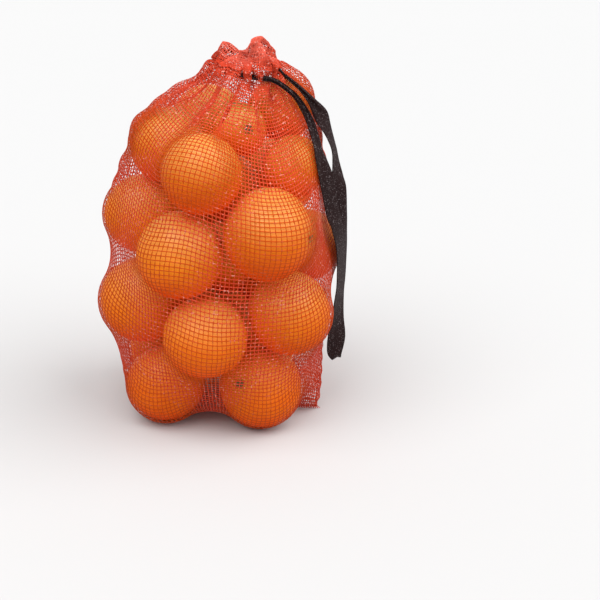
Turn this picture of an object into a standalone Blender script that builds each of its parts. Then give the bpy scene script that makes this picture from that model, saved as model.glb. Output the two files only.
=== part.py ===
"""A leno mesh bag of oranges, filled, standing upright and drawn shut by a flat woven tape.

Three solids make the part. The filled net is one closed solid: the cloth pulled taut over the
fruit, gathered at the neck and flared into a ruffle above it. The neck tape runs round the
gathers, and the free loop of the same tape leaves the neck, lies over the right shoulder and
hangs down beside the bag. Lengths below are in millimetres; the meshes are made in metres.
"""

import math

import bmesh
import bpy
import numpy as np

MM = 0.001

# Fruit: x, y, z of the middle and the radius. The front of the bag faces -Y.
FRUIT = (
    (-43, -22, 33, 33.0),
    (32, -32, 34, 34.5),
    (-42, 45, 34, 34.0),
    (28, 38, 34, 34.0),
    (-4, 10, 84, 33.0),
    (-60, -10, 102, 35.2),
    (-11, -58, 91, 34.0),
    (56, -42, 105, 35.0),
    (-29, 53, 92, 35.0),
    (39, 50, 102, 34.0),
    (3, 2, 135, 30.5),
    (-31, -53, 159, 35.0),
    (39, -58, 183, 37.0),
    (-62, 6, 172, 32.5),
    (70, 10, 143, 31.0),
    (-16, 54, 161, 35.0),
    (47, 50, 189, 33.5),
    (4, 4, 190, 28.0),
    (-14, -57, 227, 32.0),
    (-39, -1, 231, 31.0),
    (54, -12, 216, 28.5),
    (47, 24, 251, 28.5),
    (-9, 55, 229, 33.0),
    (16, -8, 250, 26.0),
)
# Hollow swellings, where slack cloth stands off the fruit: the shoulders and the lower corners.
SLACK_CLOTH = (
    (50, 22, 261, 27.5),
    (63, 2, 238, 20.0),
    (-21, 4, 256, 27.0),
    (-36, 2, 251, 23.0),
    (-52, -1, 242, 20.0),
    (-61, -1, 213, 19.5),
    (73, -11, 14, 13.0),
    (74, -11, 26, 13.0),
    (75, -10, 38, 12.5),
    (75, -10, 50, 12.5),
    (75, -10, 62, 12.5),
    (74, -10, 74, 12.0),
    (-69, -2, 20, 10.0),
    (-72, -3, 35, 10.0),
    (-74, -4, 50, 10.0),
)
SETTLE_SWEEPS = 40

# Net bag.
CLOTH_OFFSET = 1.4
COLUMNS = 64
BODY_ROWS = 48
SEAM_RIGHT = (86.0, -9.0, 0.0)
SEAM_LEFT = (-76.0, 0.0, 0.0)
START_RADIUS = 125.0
START_HEIGHT = 300.0
START_SWELL_POWER = 0.35
RELAX_SWEEPS = 1500
PUSH_SWEEPS = 2
RESPACE_EVERY = 50
FLOOR_SNAP = 1.2

# Gathered neck and the ruffle above it.
NECK_X = 23.0
NECK_Y = 0.0
NECK_Z = 295.0
NECK_SLOPE_X = -0.12
NECK_SLOPE_Y = 0.05
NECK_RADIUS = 23.5
NECK_HALF_HEIGHT = 4.6
PLEATS = 16
PLEAT_DEPTH = 1.1
SHOULDER_PLEAT_DEPTH = 2.6
SHOULDER_PLEAT_ROWS = 9
RUFFLE_ROWS = 5
RUFFLE_HEIGHT = 8.0
RUFFLE_FLARE = 3.4
RUFFLE_LEAN_ACROSS = 9.0
RUFFLE_LEAN_ALONG = 8.0
RUFFLE_LOBES = 3
RUFFLE_LOBE_DEPTH = 9.0
# The ruffle's two ears: height, the angle of the middle and half the width, in degrees.
RIGHT_EAR = (9.0, 56.0, 32.0)
LEFT_EAR = (6.0, 180.0, 18.0)
MOUTH_SHARE = 0.7
MOUTH_DIP = 2.5
CROWN_DIP = 7.0

# Tape: the ring in the neck's groove, then the free loop that leaves it at both ends.
TAPE_THICKNESS = 1.2
NECK_TAPE_WIDTH = 5.0
NECK_TAPE_POINTS = 40
FRONT_EXIT_DEGREES = -68.0
BACK_EXIT_DEGREES = 10.0
GAP = 0.3
# Route of the free loop: x, y, z, the tape's width there, and how many degrees its face is
# turned from the front towards the right. It runs down the front leg, folds and comes back up.
TAPE_ROUTE = (
    (32.8, -22.9, 292.8, 3.6, 22),
    (38.0, -21.5, 292.0, 3.6, 14),
    (44.0, -18.5, 289.0, 3.8, 12),
    (51.2, -17.8, 284.0, 4.4, 15),
    (58.8, -19.4, 277.5, 5.2, 20),
    (64.6, -20.4, 268.5, 6.4, 30),
    (69.4, -22.2, 259.0, 8.2, 38),
    (73.8, -27.0, 246.5, 10.8, 42),
    (77.8, -34.6, 233.5, 12.4, 40),
    (82.5, -36.0, 219.5, 13.0, 36),
    (85.5, -33.0, 206.5, 13.0, 32),
    (90.0, -27.0, 184.5, 13.0, 38),
    (93.0, -24.0, 174.0, 13.0, 42),
    (97.0, -18.0, 151.0, 13.0, 50),
    (98.0, -14.0, 121.5, 13.0, 46),
    (97.5, -13.0, 105.5, 13.0, 44),
    (96.5, -12.0, 83.0, 13.0, 30),
    (96.3, -12.5, 66.0, 13.0, 14),
    (96.4, -12.0, 55.0, 12.0, 6),
    (98.4, -8.5, 48.6, 8.0, 4),
    (98.0, -5.5, 55.0, 12.0, 4),
    (99.5, -5.0, 66.0, 13.0, 14),
    (100.0, -5.5, 83.0, 13.0, 30),
    (101.0, -6.5, 105.0, 13.0, 46),
    (102.0, -7.0, 122.0, 13.0, 50),
    (101.0, -10.5, 149.0, 13.0, 50),
    (99.0, -14.0, 165.0, 13.0, 42),
    (97.0, -16.0, 180.5, 13.0, 32),
    (95.5, -16.0, 200.5, 13.0, 28),
    (94.0, -14.0, 210.5, 13.0, 44),
    (92.5, -11.5, 221.5, 13.0, 62),
    (91.0, -9.0, 231.5, 13.0, 70),
    (88.0, -7.0, 240.5, 13.0, 68),
    (84.3, -6.0, 249.5, 13.0, 58),
    (79.3, -7.0, 260.0, 12.5, 32),
    (72.0, -9.0, 271.0, 7.0, 22),
    (63.5, -10.5, 281.0, 4.0, 20),
    (54.5, -6.5, 288.0, 3.4, 40),
    (49.2, -1.0, 291.2, 3.4, 70),
    (47.4, 3.6, 292.1, 3.4, 80),
)
ROUTE_STEPS = 2
# Below this, the tape lies so nearly along its own turn that its last good direction is kept.
LEAST_CROSSING = 0.5


def settled_fruit():
    """The fruit's middles and radii, after overlapping neighbours have pushed each other apart."""
    table = np.array(FRUIT, float)
    middles = table[:, :3]
    radii = table[:, 3]
    for _ in range(SETTLE_SWEEPS):
        for one in range(len(radii)):
            for other in range(one):
                across = middles[one] - middles[other]
                distance = float(np.linalg.norm(across))
                overlap = radii[one] + radii[other] - distance
                if overlap > 0:
                    step = across * (overlap / distance / 2)
                    middles[one] += step
                    middles[other] -= step
        middles[:, 2] = np.maximum(middles[:, 2], radii)
    return middles, radii


def column_angles(columns):
    """Angles of the bag's upright yarns, from the right edge round the back."""
    return np.arange(columns) * (2 * math.pi / columns)


def seam_line(columns):
    """Points of the bottom seam, where the front and back halves meet in pairs."""
    turn = np.arange(columns) / columns
    along = np.abs(1 - 2 * turn)[:, None]
    return np.array(SEAM_RIGHT) * along + np.array(SEAM_LEFT) * (1 - along)


def tilted(across, along, lift):
    """Points at offsets across and along the neck's slightly tilted plane, lifted above it."""
    height = NECK_Z + NECK_SLOPE_X * across + NECK_SLOPE_Y * along + lift
    return np.stack([NECK_X + across, NECK_Y + along, height], axis=-1)


def neck_ring(columns, lift):
    """One pleated ring of the gathered neck, lifted above or below the tape's middle."""
    angles = column_angles(columns)
    radius = NECK_RADIUS - PLEAT_DEPTH * (1 - np.cos(PLEATS * angles)) / 2
    return tilted(radius * np.cos(angles), radius * np.sin(angles), lift)


def starting_cloth(columns, rows):
    """A roomy sack round all the fruit, from the seam up to the neck."""
    angles = column_angles(columns)
    cloth = np.zeros((rows, columns, 3))
    low = seam_line(columns)
    high = neck_ring(columns, -NECK_HALF_HEIGHT)
    middle = (np.array(SEAM_RIGHT) + np.array(SEAM_LEFT)) / 2
    for row in range(rows):
        share = row / (rows - 1)
        swell = math.sin(math.pi * share) ** START_SWELL_POWER
        ring = np.stack(
            [
                middle[0] + START_RADIUS * np.cos(angles),
                middle[1] + START_RADIUS * np.sin(angles),
                np.full(columns, START_HEIGHT * share),
            ],
            axis=1,
        )
        cloth[row] = ring * swell + (low * (1 - share) + high * share) * (1 - swell)
    cloth[0] = low
    cloth[-1] = high
    return cloth


def push_out(points, middles, radii):
    """Moves every point that is inside a fruit to that fruit's surface."""
    flat = points.reshape(-1, 3)
    for middle, radius in zip(middles, radii):
        away = flat - middle
        distance = np.linalg.norm(away, axis=1)
        inside = distance < radius
        flat[inside] = middle + away[inside] * (radius / distance[inside])[:, None]


def respace(line, count):
    """The same line with its points spread evenly along it."""
    steps = np.linalg.norm(np.diff(line, axis=0), axis=1)
    reach = np.concatenate([[0], np.cumsum(steps)])
    places = np.linspace(0, reach[-1], count)
    return np.stack([np.interp(places, reach, line[:, axis]) for axis in range(3)], axis=1)


def pulled_taut(cloth, middles, radii):
    """The cloth after its yarns have shortened until the fruit and the floor stop them."""
    rows, columns = cloth.shape[:2]
    for sweep in range(RELAX_SWEEPS):
        inner = cloth[1:-1]
        around = np.roll(inner, 1, axis=1) + np.roll(inner, -1, axis=1)
        inner[:] = (around + cloth[:-2] + cloth[2:]) / 4
        for _ in range(PUSH_SWEEPS):
            push_out(inner, middles, radii)
        inner[:, :, 2] = np.maximum(inner[:, :, 2], 0)
        if sweep % RESPACE_EVERY == 0:
            for column in range(columns):
                cloth[:, column] = respace(cloth[:, column], rows)
    return cloth


def add_shoulder_pleats(cloth):
    """Folds that fan down from the neck and fade out over the shoulder."""
    angles = column_angles(cloth.shape[1])
    wave = (np.cos(PLEATS * angles) - 1) / 2
    for step in range(1, SHOULDER_PLEAT_ROWS):
        fade = 1 - step / SHOULDER_PLEAT_ROWS
        outward = np.stack([np.cos(angles), np.sin(angles), np.ones_like(angles)], axis=1)
        cloth[-1 - step] += outward * (wave * SHOULDER_PLEAT_DEPTH * fade / math.sqrt(2))[:, None]


def ear(away, size):
    """How high an ear of the ruffle stands, at so many degrees from where it is measured."""
    height, middle, half_width = size
    return height * np.exp(-(((away - middle) / half_width) ** 4))


def ruffle_rings(columns):
    """Rings of the ruffle, from the neck up to its rim, with a wide right ear and a left one."""
    angles = column_angles(columns)
    away = np.degrees(np.abs((angles + math.pi) % (2 * math.pi) - math.pi))
    height = RUFFLE_HEIGHT + ear(away, RIGHT_EAR) + ear(away, LEFT_EAR)
    lobes = RUFFLE_LOBE_DEPTH * (np.abs(np.cos(RUFFLE_LOBES * angles)) - 1)
    rings = []
    for row in range(1, RUFFLE_ROWS + 1):
        share = row / RUFFLE_ROWS
        lift = NECK_HALF_HEIGHT + height * share
        reach = NECK_RADIUS + RUFFLE_FLARE * math.sin(share * math.pi) + lobes * share
        across = reach - RUFFLE_LEAN_ACROSS * share**2
        along = reach - RUFFLE_LEAN_ALONG * share**2
        rings.append(tilted(across * np.cos(angles), along * np.sin(angles), lift))
    return rings


def closing_ring(rim):
    """The ring that turns in from the rim towards the shut mouth."""
    middle = rim.mean(axis=0)
    inner = middle + (rim - middle) * MOUTH_SHARE
    inner[:, 2] = rim[:, 2] - MOUTH_DIP
    return inner


def material(name, colour, roughness):
    """A plain Principled finish."""
    made = bpy.data.materials.new(name)
    made.use_nodes = True
    shader = made.node_tree.nodes["Principled BSDF"]
    shader.inputs["Base Color"].default_value = (*colour, 1)
    shader.inputs["Roughness"].default_value = roughness
    shader.inputs["Metallic"].default_value = 0
    return made


def add_object(name, made_mesh, finish):
    """Links a named object with its finish."""
    made = bpy.data.objects.new(name, made_mesh)
    made.data.materials.append(finish)
    bpy.context.scene.collection.objects.link(made)
    return made


def net_mesh(cloth_rings):
    """One closed mesh: paired seam, rings, and a fan that shuts the mouth."""
    shell = bmesh.new()
    columns = len(cloth_rings[0])
    first = []
    for column in range(columns):
        if column <= columns // 2:
            first.append(shell.verts.new(cloth_rings[0][column] * MM))
        else:
            first.append(first[columns - column])
    rows = [first]
    for ring in cloth_rings[1:]:
        rows.append([shell.verts.new(point * MM) for point in ring])
    for lower, upper in zip(rows[:-1], rows[1:]):
        for column in range(columns):
            after = (column + 1) % columns
            shell.faces.new((lower[column], lower[after], upper[after], upper[column]))
    crown = np.mean(cloth_rings[-1], axis=0) - np.array([0, 0, CROWN_DIP])
    top = shell.verts.new(crown * MM)
    for column in range(columns):
        shell.faces.new((rows[-1][column], rows[-1][(column + 1) % columns], top))
    bmesh.ops.triangulate(shell, faces=shell.faces)
    made = bpy.data.meshes.new("filled_net")
    shell.to_mesh(made)
    shell.free()
    made.shade_smooth()
    return made


def build_net():
    """The taut net as one solid, flat where it stands."""
    middles, radii = settled_fruit()
    slack = np.array(SLACK_CLOTH)
    middles = np.concatenate([middles, slack[:, :3]])
    radii = np.concatenate([radii + CLOTH_OFFSET, slack[:, 3]])
    cloth = pulled_taut(starting_cloth(COLUMNS, BODY_ROWS), middles, radii)
    add_shoulder_pleats(cloth)
    low = cloth[:, :, 2] < FLOOR_SNAP
    cloth[:, :, 2][low] = 0
    rings = list(cloth) + [neck_ring(COLUMNS, NECK_HALF_HEIGHT)]
    rings += ruffle_rings(COLUMNS)
    rings.append(closing_ring(rings[-1]))
    return add_object("filled_net", net_mesh(rings), material("red_net", (0.62, 0.07, 0.035), 0.5))


def smooth_route(rows, steps):
    """Rows read from a smooth curve through the given ones, with so many steps to a stretch."""
    table = np.array(rows, float)
    ends = np.concatenate([[2 * table[0] - table[1]], table, [2 * table[-1] - table[-2]]])
    found = []
    for before, start, end, after in zip(ends[:-3], ends[1:-2], ends[2:-1], ends[3:]):
        for step in range(steps):
            t = step / steps
            bend = 2 * before - 5 * start + 4 * end - after
            twist = 3 * start - before - 3 * end + after
            found.append(start + 0.5 * t * ((end - before) + t * (bend + t * twist)))
    found.append(table[-1])
    return np.array(found)


def unit(vector):
    """The vector at length one."""
    return vector / np.linalg.norm(vector)


def across_directions(points, turns):
    """The direction of the tape's width at each point, kept steady where it folds over."""
    along = np.gradient(points, axis=0)
    found = []
    for direction, turn in zip(along, np.radians(turns)):
        direction = unit(direction)
        facing = np.array([math.sin(turn), -math.cos(turn), 0])
        across = np.cross(facing, direction)
        if np.linalg.norm(across) < LEAST_CROSSING and found:
            across = found[-1] - direction * float(found[-1] @ direction)
        elif found and across @ found[-1] < 0:
            across = -across
        found.append(unit(across))
    return np.array(found)


def strap_mesh(name, points, across, widths):
    """A closed flat strap along the points, given the direction and size of its width."""
    along = np.gradient(points, axis=0)
    strap = bmesh.new()
    rings = []
    for point, direction, side, width in zip(points, along, across, widths):
        face = unit(np.cross(unit(direction), side))
        corners = ((-1, -1), (1, -1), (1, 1), (-1, 1))
        places = [point + side * (width / 2 * a) + face * (TAPE_THICKNESS / 2 * b) for a, b in corners]
        rings.append([strap.verts.new(place * MM) for place in places])
    for lower, upper in zip(rings[:-1], rings[1:]):
        for corner in range(4):
            after = (corner + 1) % 4
            strap.faces.new((lower[corner], lower[after], upper[after], upper[corner]))
    strap.faces.new(rings[0])
    strap.faces.new(rings[-1][::-1])
    bmesh.ops.recalc_face_normals(strap, faces=strap.faces)
    bmesh.ops.triangulate(strap, faces=strap.faces)
    made = bpy.data.meshes.new(name)
    strap.to_mesh(made)
    strap.free()
    return made


def build_neck_tape(finish):
    """The part of the tape that lies in the groove round the neck."""
    start = math.radians(BACK_EXIT_DEGREES)
    end = math.radians(FRONT_EXIT_DEGREES + 360)
    angles = np.linspace(start, end, NECK_TAPE_POINTS)
    radius = NECK_RADIUS + GAP + TAPE_THICKNESS / 2
    points = tilted(radius * np.cos(angles), radius * np.sin(angles), 0)
    across = np.tile([0.0, 0.0, 1.0], (NECK_TAPE_POINTS, 1))
    widths = np.full(NECK_TAPE_POINTS, NECK_TAPE_WIDTH)
    return add_object("neck_tape", strap_mesh("neck_tape", points, across, widths), finish)


def build_drawstring(finish):
    """The free loop of tape that hangs down the right side."""
    route = smooth_route(TAPE_ROUTE, ROUTE_STEPS)
    points = route[:, :3]
    across = across_directions(points, route[:, 4])
    return add_object("drawstring", strap_mesh("drawstring", points, across, route[:, 3]), finish)


def clear_scene():
    """Removes what the scene starts with."""
    for thing in list(bpy.data.objects):
        bpy.data.objects.remove(thing, do_unlink=True)


clear_scene()
build_net()
tape_finish = material("black_tape", (0.02, 0.019, 0.021), 0.6)
build_neck_tape(tape_finish)
build_drawstring(tape_finish)
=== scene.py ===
"""Looks of a filled leno mesh bag: oranges in a red woven net, drawn shut by a black woven tape.

Lengths are in millimetres until a mesh is made, and every mesh is in metres. The front of the
bag faces -Y, the tape hangs on its +X side, and the bag stands on Z = 0.
"""

from __future__ import annotations

import logging
import math
from dataclasses import dataclass, field
from enum import Enum

import bpy
import numpy as np
from bpy.types import Material, Mesh, Node, NodeSocket, NodeTree, Object
from mathutils import Matrix, Vector
from numpy import ndarray

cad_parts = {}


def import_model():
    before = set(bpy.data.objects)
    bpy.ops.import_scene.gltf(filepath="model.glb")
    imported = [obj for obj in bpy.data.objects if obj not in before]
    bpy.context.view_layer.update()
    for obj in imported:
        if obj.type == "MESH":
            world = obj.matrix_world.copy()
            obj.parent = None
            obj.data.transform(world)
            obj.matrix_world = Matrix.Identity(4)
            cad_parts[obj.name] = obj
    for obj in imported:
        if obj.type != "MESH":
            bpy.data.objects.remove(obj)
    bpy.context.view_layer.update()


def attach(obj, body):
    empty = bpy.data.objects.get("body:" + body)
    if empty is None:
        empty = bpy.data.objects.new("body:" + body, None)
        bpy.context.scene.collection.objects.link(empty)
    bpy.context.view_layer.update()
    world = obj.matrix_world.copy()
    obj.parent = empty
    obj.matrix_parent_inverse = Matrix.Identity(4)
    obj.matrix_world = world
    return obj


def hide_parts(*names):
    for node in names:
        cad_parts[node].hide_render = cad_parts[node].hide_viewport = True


MM = 0.001
TURN = 2 * math.pi
LOG = logging.getLogger("mesh_bag")
Colour = tuple[float, float, float]

# Fruit: x, y, z of the middle and the radius.
FRUIT = (
    (-44.3, -24.1, 33, 33),
    (33.9, -34.1, 34.5, 34.5),
    (-44.6, 42.9, 34, 34),
    (32.2, 42.7, 34, 34),
    (-3, 4.2, 76, 33),
    (-63.7, -11.2, 103.2, 35.2),
    (-11.4, -60.6, 91.5, 34),
    (56, -42, 105, 35),
    (-33, 64, 98.7, 35),
    (40.5, 51.9, 102.8, 34),
    (4.8, -2, 138.8, 30.5),
    (-31, -53, 159, 35),
    (37.5, -62.4, 179.8, 37),
    (-62, 6, 172, 32.5),
    (70, 10, 143, 31),
    (-16.2, 55.8, 166.1, 35),
    (48, 49.9, 189.4, 33.5),
    (5.7, 4.9, 196.8, 28),
    (-13.8, -57.6, 227, 32),
    (-41, -0.8, 232.4, 31),
    (58, -19, 221, 25.5),
    (49, 15, 258.5, 26.5),
    (-8.4, 55.1, 233.7, 33),
    (16, -19, 251, 21.5),
)
# Where slack cloth stands off the fruit: the shoulders and the lower corners.
SLACK_CLOTH = (
    (50, 22, 261, 27.5),
    (63, 2, 238, 20.0),
    (-21, 4, 256, 27.0),
    (-36, 2, 251, 23.0),
    (-52, -1, 242, 20.0),
    (-62, -1, 213, 19.5),
    (-67, -1, 195, 20.5),
    (78, -11, 14, 8.0),
    (79, -11, 26, 8.0),
    (80, -10, 38, 7.5),
    (80, -10, 50, 7.5),
    (80, -10, 62, 7.5),
    (78, -10, 74, 8.0),
    (-69, -2, 20, 10.0),
    (-72, -3, 35, 10.0),
    (-74, -4, 50, 10.0),
)
# Stem ends that show: which fruit, and the way its stem points.
SHOWN_STEMS = (
    (1, (-0.551, -0.721, 0.421)),
    (12, (0.957, -0.288, 0.011)),
    (23, (0.307, -0.902, 0.302)),
)
# The free loop of tape: x, y, z, its width there, and the turn of its face from the front.
TAPE_ROUTE = (
    (32.8, -22.9, 292.8, 3.6, 22),
    (38.0, -21.5, 292.0, 3.6, 14),
    (44.0, -18.5, 289.0, 3.8, 12),
    (51.3, -17.8, 284.0, 4.0, 15),
    (59.1, -19.4, 277.5, 4.2, 20),
    (65.2, -20.4, 268.5, 4.8, 30),
    (70.1, -22.2, 259.0, 6.0, 38),
    (74.6, -27.0, 246.5, 8.2, 42),
    (78.3, -34.6, 233.5, 11.2, 40),
    (82.5, -36.0, 219.5, 13.0, 36),
    (85.5, -33.0, 206.5, 13.0, 32),
    (90.0, -27.0, 184.5, 13.0, 38),
    (93.5, -24.0, 174.0, 13.0, 48),
    (97.5, -18.0, 151.0, 13.0, 62),
    (98.5, -14.0, 121.5, 13.0, 66),
    (97.5, -13.0, 105.5, 13.0, 64),
    (96.5, -12.0, 83.0, 13.0, 46),
    (96.3, -12.5, 66.0, 13.0, 14),
    (96.4, -12.0, 55.0, 12.0, 6),
    (98.4, -8.5, 48.6, 8.0, 4),
    (98.0, -5.5, 55.0, 12.0, 4),
    (99.5, -5.0, 66.0, 13.0, 14),
    (99.5, -5.5, 83.0, 13.0, 46),
    (100.5, -6.5, 105.0, 13.0, 64),
    (101.5, -7.0, 122.0, 13.0, 66),
    (101.0, -10.5, 149.0, 13.0, 62),
    (99.5, -14.0, 165.0, 13.0, 54),
    (97.0, -16.0, 180.5, 13.0, 32),
    (95.5, -16.0, 200.5, 13.0, 28),
    (94.0, -14.0, 210.5, 13.0, 44),
    (92.5, -11.5, 221.5, 13.0, 62),
    (91.0, -9.0, 231.5, 13.0, 70),
    (88.0, -7.0, 240.5, 13.0, 68),
    (84.3, -6.0, 249.5, 13.0, 58),
    (79.3, -7.0, 260.0, 12.5, 32),
    (72.0, -9.0, 271.0, 7.0, 22),
    (63.5, -10.5, 281.0, 4.0, 20),
    (54.5, -6.5, 288.0, 3.4, 40),
    (49.2, -1.0, 291.2, 3.4, 70),
    (47.4, 3.6, 292.1, 3.4, 80),
)


class Slot(Enum):
    """The names of the material slots."""

    NET = "net_cloth"
    TAPE = "drawstring_tape"
    PEEL = "orange_peel"


class Lie(Enum):
    """Which of the net's two sets of yarns a ribbon belongs to."""

    ROUND = "weft"
    UPRIGHT = "warp"


# ---------------------------------------------------------------------------- small helpers


def unit(vectors: ndarray) -> ndarray:
    """Vectors at length one, along the array's last axis."""
    return vectors / np.maximum(np.linalg.norm(vectors, axis=-1, keepdims=True), 1e-9)


def between(low: ndarray, high: ndarray, share: ndarray | float) -> ndarray:
    """Values a share of the way from the low ones to the high ones."""
    return low * (1 - share) + high * share


def smooth_step(values: ndarray) -> ndarray:
    """An even rise from 0 to 1 for values from 0 to 1."""
    held = np.clip(values, 0, 1)
    return held * held * (3 - 2 * held)


def turned_away(angles: ndarray, place: ndarray | float) -> ndarray:
    """Angles measured from a place, from minus half a turn to half a turn."""
    return (angles - place + math.pi) % TURN - math.pi


def smooth_route(rows: tuple, steps: int) -> ndarray:
    """Rows read from a smooth curve through the given ones.

    Args:
        rows: the rows that the curve goes through.
        steps: how many steps each stretch between two rows gets.

    Returns:
        The finer rows, the given ones among them.
    """
    table = np.array(rows, float)
    ends = np.concatenate([[2 * table[0] - table[1]], table, [2 * table[-1] - table[-2]]])
    found = []
    for before, start, end, after in zip(ends[:-3], ends[1:-2], ends[2:-1], ends[3:]):
        for step in range(steps):
            t = step / steps
            bend = 2 * before - 5 * start + 4 * end - after
            twist = 3 * start - before - 3 * end + after
            found.append(start + 0.5 * t * ((end - before) + t * (bend + t * twist)))
    found.append(table[-1])
    return np.array(found)


def respace(rows: ndarray, count: int) -> ndarray:
    """The same line with its rows spread evenly along it.

    Args:
        rows: rows whose first three columns are x, y, z.
        count: how many rows come out.

    Returns:
        The evenly spaced rows, with every column carried along.
    """
    steps = np.linalg.norm(np.diff(rows[:, :3], axis=0), axis=1)
    reach = np.concatenate([[0], np.cumsum(steps)])
    places = np.linspace(0, reach[-1], count)
    return np.stack([np.interp(places, reach, column) for column in rows.T], axis=1)


def add_piece(name: str, mesh: Mesh, finish: Material | None = None) -> Object:
    """Links an object at the origin.

    Args:
        name: the piece's name.
        mesh: its mesh, in metres and in place.
        finish: its material, where the mesh gets it now.

    Returns:
        The linked object.
    """
    piece = bpy.data.objects.new(name, mesh)
    if finish is not None:
        mesh.materials.append(finish)
    bpy.context.scene.collection.objects.link(piece)
    return piece


def settle(piece: Object, node: str) -> None:
    """Makes a piece ride on the bag and stand for one of its solids.

    Args:
        piece: the finished piece.
        node: the solid that it stands for.
    """
    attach(piece, "root")
    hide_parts(node)
    triangles = sum(len(polygon.vertices) - 2 for polygon in piece.data.polygons)
    LOG.info("%s: %d triangles", piece.name, triangles)


def grid_faces(rows: int, columns: int, start: int = 0) -> ndarray:
    """Quads of an open grid of points.

    Args:
        rows: how many rows of points there are.
        columns: how many points are in a row.
        start: the index of the first point.

    Returns:
        Four point indices for each quad.
    """
    low = np.arange(rows - 1)[:, None] * columns + np.arange(columns - 1)[None, :]
    quads = np.stack([low, low + 1, low + columns + 1, low + columns], axis=-1)
    return quads.reshape(-1, 4) + start


def mesh_from(name: str, points: ndarray, faces: list, edges: list | None = None) -> Mesh:
    """A smooth mesh in metres from points in millimetres.

    Args:
        name: the mesh's name.
        points: x, y, z of each point.
        faces: the point indices of each face.
        edges: the point indices of each edge, for a mesh of lines.

    Returns:
        The new mesh.
    """
    mesh = bpy.data.meshes.new(name)
    mesh.from_pydata((points.reshape(-1, 3) * MM).tolist(), edges or [], faces)
    if faces:
        mesh.shade_smooth()
    return mesh


def store(mesh: Mesh, name: str, values: ndarray) -> None:
    """Keeps a number, or a vector of x, y, z, with each point of a mesh.

    Args:
        mesh: the mesh.
        name: the attribute's name.
        values: one row for each point.
    """
    kind, field_name = ("FLOAT", "value") if values.ndim == 1 else ("FLOAT_VECTOR", "vector")
    made = mesh.attributes.new(name, kind, "POINT")
    made.data.foreach_set(field_name, values.astype(np.float32).ravel())


# ---------------------------------------------------------------------------- finishes


class NodeBench:
    """A node tree, with short ways to add nodes and join them."""

    def __init__(self, tree: NodeTree) -> None:
        """Takes the tree that the nodes go in."""
        self.tree = tree

    def put(self, target: NodeSocket, value: object) -> None:
        """Gives an input an output to read, a colour or a plain value."""
        if isinstance(value, NodeSocket):
            self.tree.links.new(value, target)
        else:
            target.default_value = (*value, 1) if isinstance(value, tuple) else value

    def add(self, kind: str, values: dict | None = None, **settings: object) -> Node:
        """Adds a node.

        Args:
            kind: the node's type.
            values: what its inputs get, by name or index.
            settings: its own settings.

        Returns:
            The new node.
        """
        node = self.tree.nodes.new(kind)
        for name, value in settings.items():
            setattr(node, name, value)
        for name, value in (values or {}).items():
            self.put(node.inputs[name], value)
        return node

    def maths(self, operation: str, *terms: object) -> NodeSocket:
        """One step of arithmetic on numbers or outputs."""
        return self.add("ShaderNodeMath", dict(enumerate(terms)), operation=operation).outputs[0]

    def times(self, *terms: object) -> NodeSocket:
        """Two numbers or outputs multiplied."""
        return self.maths("MULTIPLY", *terms)

    def plus(self, *terms: object) -> NodeSocket:
        """Two numbers or outputs added."""
        return self.maths("ADD", *terms)

    def minus(self, *terms: object) -> NodeSocket:
        """The first of two numbers or outputs less the second."""
        return self.maths("SUBTRACT", *terms)

    def blend(self, share: object, low: object, high: object) -> NodeSocket:
        """A colour a share of the way from one colour or output to another."""
        node = self.add("ShaderNodeMix", {0: share, 6: low, 7: high}, data_type="RGBA")
        return node.outputs[2]

    def ranged(self, value: NodeSocket, low: float, high: float) -> NodeSocket:
        """A value read from 0 at the low mark to 1 at the high one."""
        values = {"Value": value, "From Min": low, "From Max": high}
        return self.add("ShaderNodeMapRange", values).outputs[0]

    def attribute(self, name: str) -> NodeSocket:
        """Reads a number that a mesh keeps with its points."""
        return self.add("ShaderNodeAttribute", attribute_name=name).outputs["Fac"]

    def pattern(self, kind: str, **values: object) -> Node:
        """Adds a texture that is read in object coordinates."""
        place = self.add("ShaderNodeTexCoord").outputs["Object"]
        return self.add(kind, {"Vector": place, **values})


def new_group(name: str, kind: str, inputs: dict, outputs: dict) -> tuple[NodeBench, Node, Node]:
    """Starts a node group with named sockets.

    Args:
        name: the group's name.
        kind: the type of its tree.
        inputs: for each input, its default number or else its type of socket.
        outputs: the type of socket of each output.

    Returns:
        A bench for its nodes, and its input and output nodes.
    """
    group = bpy.data.node_groups.new(name, kind)
    for way, sockets in (("INPUT", inputs), ("OUTPUT", outputs)):
        for title, given in sockets.items():
            typed = given if isinstance(given, str) else "Float"
            socket = group.interface.new_socket(
                title, in_out=way, socket_type="NodeSocket" + typed
            )
            if typed is not given:
                socket.default_value = given
    bench = NodeBench(group)
    return bench, bench.add("NodeGroupInput"), bench.add("NodeGroupOutput")


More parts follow.
